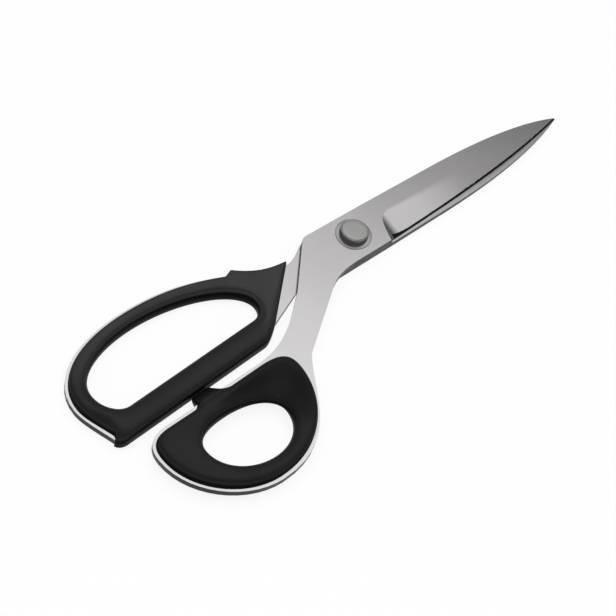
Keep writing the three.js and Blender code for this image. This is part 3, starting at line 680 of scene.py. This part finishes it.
def thumbOutline(sizes):
    rim, front, bowX, depth = (sizes[key] for key in ("rim", "front", "bowX", "depth"))
    low, tail = thumbRimY - depth + rim, bowX - sizes["tailReach"] + rim
    tailY, startY = thumbRimY - depth * sizes["tailHeight"], thumbRimY - sizes["frontDrop"]
    rimTail, rimFront = onThumbRim(thumbRimX), onThumbRim(bowX + sizes["rimFront"][0])
    lowTail = bowX - (sizes["tailReach"] - rim) * sizes["lowRound"]
    bow = drawn((front, startY), [
        ((front, startY - sizes["frontHandle"]), (bowX + sizes["lowHandle"], low), (bowX, low)),
        ((lowTail, low), (tail, between(tailY, low, sizes["tailRound"])), (tail, tailY)),
        ((tail, tailY + sizes["tailHandle"]), shifted(rimTail, sizes["rimHandle"]), rimTail),
    ])
    nubTail, nubFront = sizes["nubX"] - sizes["nubWidth"] / 2, sizes["nubX"] + sizes["nubWidth"] / 2
    stop = (0, -sizes["stopGap"])
    tailFoot, tailHandle = sizes["nubTail"]
    frontFoot, frontHandle = sizes["nubFront"]
    tailTop = shifted(shifted(onOuter(nubTail), stop), sizes["nubTailTop"])
    frontTop = shifted(shifted(onOuter(nubFront), stop), sizes["nubFrontTop"])
    nub = drawn(onThumbRim(nubTail - tailFoot), [
        (
            (nubTail - tailHandle, onThumbRim(nubTail)[1]), tailTop,
            shifted(onOuter(nubTail + sizes["nubRound"]), stop),
        ),
        (shifted(onOuter(nubFront - sizes["nubRound"]), stop),),
        (frontTop, (nubFront + frontHandle, onThumbRim(nubFront)[1]), onThumbRim(nubFront + frontFoot)),
    ])
    nearHandle, farDrop = sizes["topHandles"]
    top = drawn(rimFront, [
        (shifted((front, rimFront[1]), nearHandle), (front, rimFront[1] + farDrop), (front, startY)),
    ])[:-1]
    return np.vstack([marked(bow, 0), marked(nub, 1), marked(top, 0)])


def thumbShape(spot, wrap):
    x, y = spot
    sizes = thumbGrip
    reach = barOuter(sizes["nubX"]) - sizes["stopGap"] - onThumbRim(sizes["nubX"])[1]
    nub = float(np.clip((y - onThumbRim(x)[1]) / reach, 0, 1)) if wrap > 0 else 0.0
    front = grown(x, *sizes["dishX"]) * grown(y, *sizes["dishY"])
    side = grown(x, *sizes["sideX"]) * grown(y, *sizes["sideY"])
    shine = between(sizes["shine"], sizes["dishShine"], front)
    return {
        "outer": between(sizes["outer"], sizes["sideOuter"], side), "lip": sizes["lip"],
        "dish": between(*sizes["dish"], front), "fall": between(*sizes["fall"], front),
        "shine": between(shine, sizes["sideShine"], side),
        "nub": nub, "nubReach": reach, "nubRoot": sizes["nubRoot"], "nubDrop": sizes["nubDrop"],
        "nubThin": 1 - sizes["nubHalf"] / (gripSizes["pad"] + gripSizes["plate"] / 2),
    }


thumbPiece = buildGrip(
    "thumbGripMoulding", thumbOutline(thumbGrip), thumbHoleLoop(thumbGrip), thumbGrip["middle"], thumbShape,
)
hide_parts("thumb_grip")
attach(thumbPiece, "thumb_lever")
print("grips moulded:", len(fingerPiece.data.vertices), len(thumbPiece.data.vertices))


# blades: the CAD plates with welded corners and a finish for each kind of face, the side walls
# and the honed edge near black as painted shade; the soft ridge above the ground bevel fades towards the tip,
# and the honed edge keeps one width
bladeFinish = {
    "slices": (-14.0, 132.0, 4.0),  # from, to and every
    "wallSlope": 0.35, "edgeSlope": 0.85, "bevelTilt": 0.1, "rampSlope": 0.03, "smoothAngle": 7.0,
    "bevelAngle": 10.4, "taperSlope": 0.0168, "taperFrom": -10.0, "taperRun": 46.0,
    "ridgeY": 1.8, "ridgeSoft": 1.4, "ridgeMargin": 0.01, "rampEnd": 20.7, "rampShare": 0.46,
    "fadeFrom": 24.0, "fadeRun": 48.0,
    "edgeWidth": 0.75, "heelWidth": 0.9, "heelX": 15.0, "heelRun": 10.0, "edgeEnd": 130.5,
}
flatFace, bevelFace, wallFace, edgeFace = range(4)  # places of the materials on a blade
bladeSteels = (flatSteel, groundSteel, wallShadeSteel, edgeShadeSteel)

# the finger shank's lower edge runs a little higher where it enters the grip, mm
shankRise = {
    "lineX": (-64.3, -38.3), "lineY": (-19.8, -8.4), "near": 1.5, "height": 1.5,
    "from": -68.0, "fromRun": 8.0, "to": -37.0, "toRun": -12.0,
}


def weldedMesh(nodeName, pieceName):
    mesh = nodes[nodeName].data.copy()
    mesh.name = pieceName
    mesh.materials.clear()
    draft = bmesh.new()
    draft.from_mesh(mesh)
    bmesh.ops.remove_doubles(draft, verts=draft.verts, dist=weldGap)
    return mesh, draft


def shadeByAngle(draft, degrees):
    for face in draft.faces:
        face.smooth = True
    for edge in draft.edges:
        edge.smooth = len(edge.link_faces) == 2 and edge.calc_face_angle(0.0) < math.radians(degrees)


def sliceBlade(draft, side, sizes):
    cuts = [((x * mm, 0, 0), (1, 0, 0)) for x in np.arange(*sizes["slices"])]
    for shift in (-sizes["ridgeSoft"], sizes["ridgeSoft"]):
        cuts.append(((0, (sizes["ridgeY"] + shift) * side * mm, 0), (0, 1, 0)))
    for place, facing in cuts:
        everything = draft.verts[:] + draft.edges[:] + draft.faces[:]
        bmesh.ops.bisect_plane(draft, geom=everything, dist=snapGap, plane_co=place, plane_no=facing)
    draft.normal_update()


def sortFaces(draft, side, sizes):
    for face in draft.faces:
        slope = face.normal.z * side
        if abs(slope) < sizes["wallSlope"]:
            face.material_index = wallFace
        elif abs(slope) < sizes["edgeSlope"]:
            face.material_index = edgeFace
        elif slope > 0 and abs(face.normal.y) > sizes["bevelTilt"] and face.calc_center_median().x > 0:
            face.material_index = bevelFace
        else:
            face.material_index = flatFace


def raiseShank(draft, rise):
    for vert in draft.verts:
        x, y = vert.co.x / mm, vert.co.y / mm
        onLine = abs(y - np.interp(x, rise["lineX"], rise["lineY"])) < rise["near"]
        if onLine and rise["from"] < x < rise["to"]:
            share = grown(x, rise["from"], rise["fromRun"]) * grown(x, rise["to"], rise["toRun"])
            vert.co.y += rise["height"] * mm * float(share)


def widenEdge(draft, sizes):
    rims, tops = set(), {}
    for face in draft.faces:
        if face.material_index != edgeFace:
            continue
        for vert in face.verts:
            if vert.co.x <= sizes["heelX"] * mm:
                continue
            upper = [near for near in vert.link_faces if near.material_index in (flatFace, bevelFace)]
            upper = [near for near in upper if near.normal.z * face.normal.z > 0]
            if upper:
                tops[vert] = max(upper, key=lambda near: near.calc_area())
            elif any(near.material_index == wallFace for near in vert.link_faces):
                rims.add(vert)
    line = np.array(sorted((vert.co.x, vert.co.y) for vert in rims))
    out = -1 if line[:, 1].mean() < 0 else 1
    for vert, above in tops.items():
        x = vert.co.x
        if x > sizes["edgeEnd"] * mm:
            continue
        heel = 1 - float(grown(x / mm, sizes["heelX"], sizes["heelRun"]))
        want = (sizes["edgeWidth"] + sizes["heelWidth"] * heel) * mm
        edgeY = float(np.interp(x, line[:, 0], line[:, 1]))
        shift = (edgeY - out * want) - vert.co.y
        if shift * out < 0:
            vert.co.y += shift
            vert.co.z -= above.normal.y * shift / above.normal.z


# normals of the upper side: a level flat, a bevel that fades into it, and a rounded run-out at the heel
def bladeNormals(mesh, side, sizes):
    tilt, slope = math.radians(sizes["bevelAngle"]), sizes["taperSlope"]
    bevel = Vector((slope, -math.sin(tilt) * side, math.cos(tilt) * side)).normalized()
    normals = [Vector(corner.vector) for corner in mesh.corner_normals]
    ground = [face for face in mesh.polygons if face.material_index == bevelFace]
    ramp = {face.index for face in ground if face.normal.x > sizes["rampSlope"]}
    bevelVerts = {vert for face in ground if face.index not in ramp for vert in face.vertices}
    for face in mesh.polygons:
        if face.material_index not in (flatFace, bevelFace) or face.normal.z * side < sizes["edgeSlope"]:
            continue
        if face.center.x < sizes["taperFrom"] * mm:
            continue
        flat = face.material_index == flatFace
        for corner in face.loop_indices:
            vert = mesh.loops[corner].vertex_index
            spot = mesh.vertices[vert].co / mm
            across = spot.y * side
            begun = float(grown(spot.x, sizes["taperFrom"], sizes["taperRun"]))
            level = Vector((slope * begun, 0, side)).normalized()
            if flat and across < sizes["ridgeY"] - sizes["ridgeMargin"]:
                normals[corner] = level
                continue
            soft = sizes["ridgeSoft"]
            share = float(grown(across, sizes["ridgeY"] + soft, -2 * soft))
            share *= 1 - float(grown(spot.x, sizes["fadeFrom"], sizes["fadeRun"]))
            if flat and spot.x < sizes["rampEnd"]:
                share = 0.0
            blended = level.lerp(bevel, share)
            if face.index in ramp and vert not in bevelVerts:
                blended = blended.lerp(normals[corner], sizes["rampShare"])
            normals[corner] = blended.normalized()
    mesh.normals_split_custom_set(normals)


def bladePiece(nodeName, pieceName, side, sizes):
    mesh, draft = weldedMesh(nodeName, pieceName)
    sliceBlade(draft, side, sizes)
    sortFaces(draft, side, sizes)
    shadeByAngle(draft, sizes["smoothAngle"])
    if side < 0:
        raiseShank(draft, shankRise)
    widenEdge(draft, sizes)
    draft.to_mesh(mesh)
    draft.free()
    for material in bladeSteels:
        mesh.materials.append(material)
    bladeNormals(mesh, side, sizes)
    piece = placed(pieceName, mesh)
    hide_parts(nodeName)
    return piece


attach(bladePiece("thumb_blade", "thumbBladePlate", 1, bladeFinish), "thumb_lever")
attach(bladePiece("finger_blade", "fingerBladePlate", -1, bladeFinish), "finger_lever")
print("blades finished")


# pivot: a turned button on a washer, and below the plates a thrust washer, spring washer and lock nut; mm
pivotCrease = 35  # degrees, sharper edges of the turned pieces stay sharp
pivotBolt = {
    "thread": 3.0, "threadEnd": 2.3, "chamfer": 0.3, "journal": 4.0, "seat": 8.9,
    "base": 6.4, "baseHeight": 0.1, "top": 5.3, "height": 2.9, "edgeRound": 1.0, "edgePoints": 9,
    "innerRing": 0.6,  # of the top's radius
    "segments": 96, "flankSlope": 0.7,
}


def turnedMesh(name, profile, segments):
    draft = bmesh.new()
    verts = [draft.verts.new((radius * mm, 0, height * mm)) for radius, height in profile]
    edges = [draft.edges.new(pair) for pair in zip(verts, verts[1:])]
    bmesh.ops.spin(
        draft, geom=verts + edges, cent=(0, 0, 0), axis=(0, 0, 1),
        angle=math.tau, steps=segments, use_merge=True,
    )
    bmesh.ops.remove_doubles(draft, verts=draft.verts, dist=snapGap)
    bmesh.ops.recalc_face_normals(draft, faces=draft.faces)
    shadeByAngle(draft, pivotCrease)
    mesh = bpy.data.meshes.new(name)
    draft.to_mesh(mesh)
    draft.free()
    return mesh


def boltProfile(sizes):
    thread, journal, base, chamfer = (sizes[key] for key in ("thread", "journal", "base", "chamfer"))
    seat, end, face, down = (sizes[key] for key in ("seat", "threadEnd", "top", "edgeRound"))
    top, across = seat + sizes["height"], base - face
    turns = np.linspace(0, math.pi / 2, sizes["edgePoints"])
    shoulder = [(face + across * math.cos(turn), top - down + down * math.sin(turn)) for turn in turns]
    return [
        (0, 0), (thread - chamfer, 0), (thread, chamfer), (thread, end), (journal, end), (journal, seat),
        (base, seat), (base, seat + sizes["baseHeight"]), *shoulder,
        (face * sizes["innerRing"], top), (0, top),
    ]


boltMesh = turnedMesh("pivotButton", boltProfile(pivotBolt), pivotBolt["segments"])
for material in (buttonSteel, flankShadeSteel):
    boltMesh.materials.append(material)
for face in boltMesh.polygons:  # the head's side gets the dark steel as painted shade, its top stays bright and polished
    if face.center.z > pivotBolt["seat"] * mm and face.normal.z < pivotBolt["flankSlope"]:
        face.material_index = 1
boltPiece = placed("pivotButton", boltMesh)
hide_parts("pivot_bolt")
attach(boltPiece, "thumb_lever")

washerSizes = {
    "inner": 4.08, "thickness": 0.4, "cornerRound": 0.19, "cornerPoints": 3,
    "segments": 96, "crease": 32,  # degrees
}
washers = {
    "headWasher": {"node": "head_washer", "body": "thumb_lever", "outer": 8.2, "floor": 8.5},
    "thrustWasher": {"node": "thrust_washer", "body": "finger_lever", "outer": 8.4, "floor": 2.0},
}


# one tree for the flat washers: a rounded bar profile swept round the pivot
def washerTree():
    group = bpy.data.node_groups.new("sweptWasher", "GeometryNodeTree")
    sockets = group.interface
    sockets.new_socket("Geometry", in_out="OUTPUT", socket_type="NodeSocketGeometry")
    for label in ("innerRadius", "outerRadius", "thickness", "cornerRound", "floorHeight"):
        sockets.new_socket(label, in_out="INPUT", socket_type="NodeSocketFloat")
    sockets.new_socket("segments", in_out="INPUT", socket_type="NodeSocketInt")
    sockets.new_socket("finish", in_out="INPUT", socket_type="NodeSocketMaterial")
    tree = Tree(group)
    entry, leave = tree.add("NodeGroupInput").outputs, tree.add("NodeGroupOutput")
    span = tree.math("SUBTRACT", entry["outerRadius"], entry["innerRadius"])
    middle = tree.math("MULTIPLY", tree.math("ADD", entry["outerRadius"], entry["innerRadius"]), 0.5)
    path = tree.add("GeometryNodeCurvePrimitiveCircle")
    tree.link(entry["segments"], path.inputs["Resolution"])
    tree.link(middle, path.inputs["Radius"])
    profile = tree.add("GeometryNodeCurvePrimitiveQuadrilateral")
    tree.link(span, profile.inputs["Width"])
    tree.link(entry["thickness"], profile.inputs["Height"])
    corner = tree.add("GeometryNodeFilletCurve", mode="POLY", Count=washerSizes["cornerPoints"])
    tree.link(profile.outputs["Curve"], corner.inputs["Curve"])
    tree.link(entry["cornerRound"], corner.inputs["Radius"])
    sweep = tree.add("GeometryNodeCurveToMesh")
    tree.link(path.outputs["Curve"], sweep.inputs["Curve"])
    tree.link(corner.outputs["Curve"], sweep.inputs["Profile Curve"])
    lift = tree.add("ShaderNodeCombineXYZ")
    half = tree.math("MULTIPLY", entry["thickness"], 0.5)
    tree.link(tree.math("ADD", entry["floorHeight"], half), lift.inputs["Z"])
    place = tree.add("GeometryNodeTransform")
    tree.link(sweep.outputs["Mesh"], place.inputs["Geometry"])
    tree.link(lift.outputs["Vector"], place.inputs["Translation"])
    real = tree.add("GeometryNodeRealizeInstances")
    tree.link(place.outputs["Geometry"], real.inputs["Geometry"])
    dress = tree.add("GeometryNodeSetMaterial")
    tree.link(real.outputs["Geometry"], dress.inputs["Geometry"])
    tree.link(entry["finish"], dress.inputs["Material"])
    tree.link(dress.outputs["Geometry"], leave.inputs["Geometry"])
    return group


sweptWasher = washerTree()


def washerPiece(name, washer, sizes):
    shell = placed(name, bpy.data.meshes.new(name))
    sweep = shell.modifiers.new("sweep", "NODES")
    sweep.node_group = sweptWasher
    values = {
        "innerRadius": sizes["inner"] * mm, "outerRadius": washer["outer"] * mm,
        "thickness": sizes["thickness"] * mm, "cornerRound": sizes["cornerRound"] * mm,
        "floorHeight": washer["floor"] * mm, "segments": sizes["segments"], "finish": washerSteel,
    }
    for item in sweptWasher.interface.items_tree:
        if item.in_out == "INPUT":
            sweep[item.identifier] = values[item.name]
    evaluated = shell.evaluated_get(bpy.context.evaluated_depsgraph_get())
    mesh = bpy.data.meshes.new_from_object(evaluated)
    shell.modifiers.remove(sweep)
    draft = bmesh.new()
    draft.from_mesh(mesh)
    bmesh.ops.recalc_face_normals(draft, faces=draft.faces)
    shadeByAngle(draft, sizes["crease"])
    draft.to_mesh(mesh)
    draft.free()
    shell.data = mesh
    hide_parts(washer["node"])
    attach(shell, washer["body"])


for name, washer in washers.items():
    washerPiece(name, washer, washerSizes)


def weldedCopy(nodeName, pieceName, material, body):
    mesh, draft = weldedMesh(nodeName, pieceName)
    shadeByAngle(draft, pivotCrease)
    draft.to_mesh(mesh)
    draft.free()
    mesh.materials.append(material)
    piece = placed(pieceName, mesh)
    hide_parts(nodeName)
    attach(piece, body)


weldedCopy("spring_washer", "springWasherDish", springSteel, "thumb_lever")
weldedCopy("lock_nut", "lockNutDisc", buttonSteel, "thumb_lever")
print("pivot assembled")


# floor: white to the lens and in reflections, with a light shadow under the shears
stage = {"floorSize": 6.0, "floorColor": (0.12, 0.12, 0.12), "whiteLift": 0.87}


def makeFloor(look):
    half = look["floorSize"] / 2
    mesh = bpy.data.meshes.new("floor")
    corners = [(-half, -half, 0), (half, -half, 0), (half, half, 0), (-half, half, 0)]
    mesh.from_pydata(corners, [], [(0, 1, 2, 3)])
    material = newMaterial("paleFloor")
    tree = Tree(material.node_tree)
    diffuse = tree.add("ShaderNodeBsdfDiffuse", Color=(*look["floorColor"], 1))
    glow = tree.add("ShaderNodeEmission")
    path = tree.add("ShaderNodeLightPath").outputs
    mirrored = tree.math("MAXIMUM", path["Is Glossy Ray"], path["Is Transmission Ray"])
    seen = tree.math("MAXIMUM", path["Is Camera Ray"], mirrored)
    tree.link(tree.math("MULTIPLY", seen, look["whiteLift"]), glow.inputs["Strength"])
    both = tree.add("ShaderNodeAddShader")
    tree.link(diffuse.outputs["BSDF"], both.inputs[0])
    tree.link(glow.outputs["Emission"], both.inputs[1])
    out = tree.add("ShaderNodeOutputMaterial")
    tree.link(both.outputs["Shader"], out.inputs["Surface"])
    mesh.materials.append(material)
    floor = placed("floor", mesh)


makeFloor(stage)

# studio: one broad bright panel, where the flats mirror it to the lens; a plain level all round elsewhere
studio = {
    "lowerEdge": [  # brightness of the panel by height
        (0.0, 0.5), (0.40, 0.45), (0.52, 0.26), (0.58, 0.13), (0.62, 0.12), (0.65, 0.17), (0.67, 0.25),
        (0.69, 0.45), (0.72, 0.74), (0.755, 0.86), (0.79, 1.14), (0.83, 1.58), (0.87, 1.75), (1.0, 1.75),
    ],
    "backEdge": [(0.05, 0.06), (0.32, 0.11), (0.42, 0.34), (0.50, 1.0)],  # share left, by how far ahead
    "reach": (0.50, 0.78),  # cosine from the panel's middle, where it starts and where it is full
    "plain": 0.6,
}


def makeWorld(look, view):
    world = bpy.data.worlds.new("studio")
    scene.world = world
    world.use_nodes = True
    world.node_tree.nodes.clear()
    tree = Tree(world.node_tree)
    way = tree.add("ShaderNodeTexCoord").outputs["Generated"]
    heights, levels = zip(*look["lowerEdge"])
    peak = max(levels)
    lower = tree.ramp(tree.part(way, "Z"), heights, [level / peak for level in levels])
    heading, elevation = math.radians(view["heading"]), math.radians(view["elevation"])
    back = tree.ramp(tree.dot(way, (math.cos(heading), math.sin(heading), 0)), *zip(*look["backEdge"]))
    panel = tree.math("MULTIPLY", tree.math("MULTIPLY", lower, back), peak)
    level = math.cos(elevation)
    middle = (math.cos(heading) * level, math.sin(heading) * level, math.sin(elevation))
    mix = tree.add("ShaderNodeMix", data_type="FLOAT")
    mix.inputs["A"].default_value = look["plain"]
    tree.link(tree.grown(tree.dot(way, middle), *look["reach"], 0, 1), mix.inputs["Factor"])
    tree.link(panel, mix.inputs["B"])
    glow = tree.add("ShaderNodeBackground")
    tree.link(mix.outputs["Result"], glow.inputs["Strength"])
    white = tree.add("ShaderNodeBackground", Color=(1, 1, 1, 1))
    pick = tree.add("ShaderNodeMixShader")
    tree.link(tree.add("ShaderNodeLightPath").outputs["Is Camera Ray"], pick.inputs["Fac"])
    tree.link(glow.outputs["Background"], pick.inputs[1])
    tree.link(white.outputs["Background"], pick.inputs[2])
    out = tree.add("ShaderNodeOutputWorld")
    tree.link(pick.outputs["Shader"], out.inputs["Surface"])


makeWorld(studio, cameraView)

# soft fill from above, kept out of the metal's reflections; m and watts
topFill = {"place": (-0.15, -0.1, 1.3), "aim": (-0.02, -0.02, 0), "size": 1.3, "watts": 15}


def makeLamp(name, look):
    data = bpy.data.lights.new(name, "AREA")
    data.size = look["size"]
    data.energy = look["watts"]
    lamp = placed(name, data)
    lamp.visible_glossy = False
    way = Vector(look["aim"]) - Vector(look["place"])
    turn = way.to_track_quat("-Z", "Y").to_matrix().to_4x4()
    lamp.matrix_world = Matrix.Translation(look["place"]) @ turn


makeLamp("topFill", topFill)
print("stage lit")
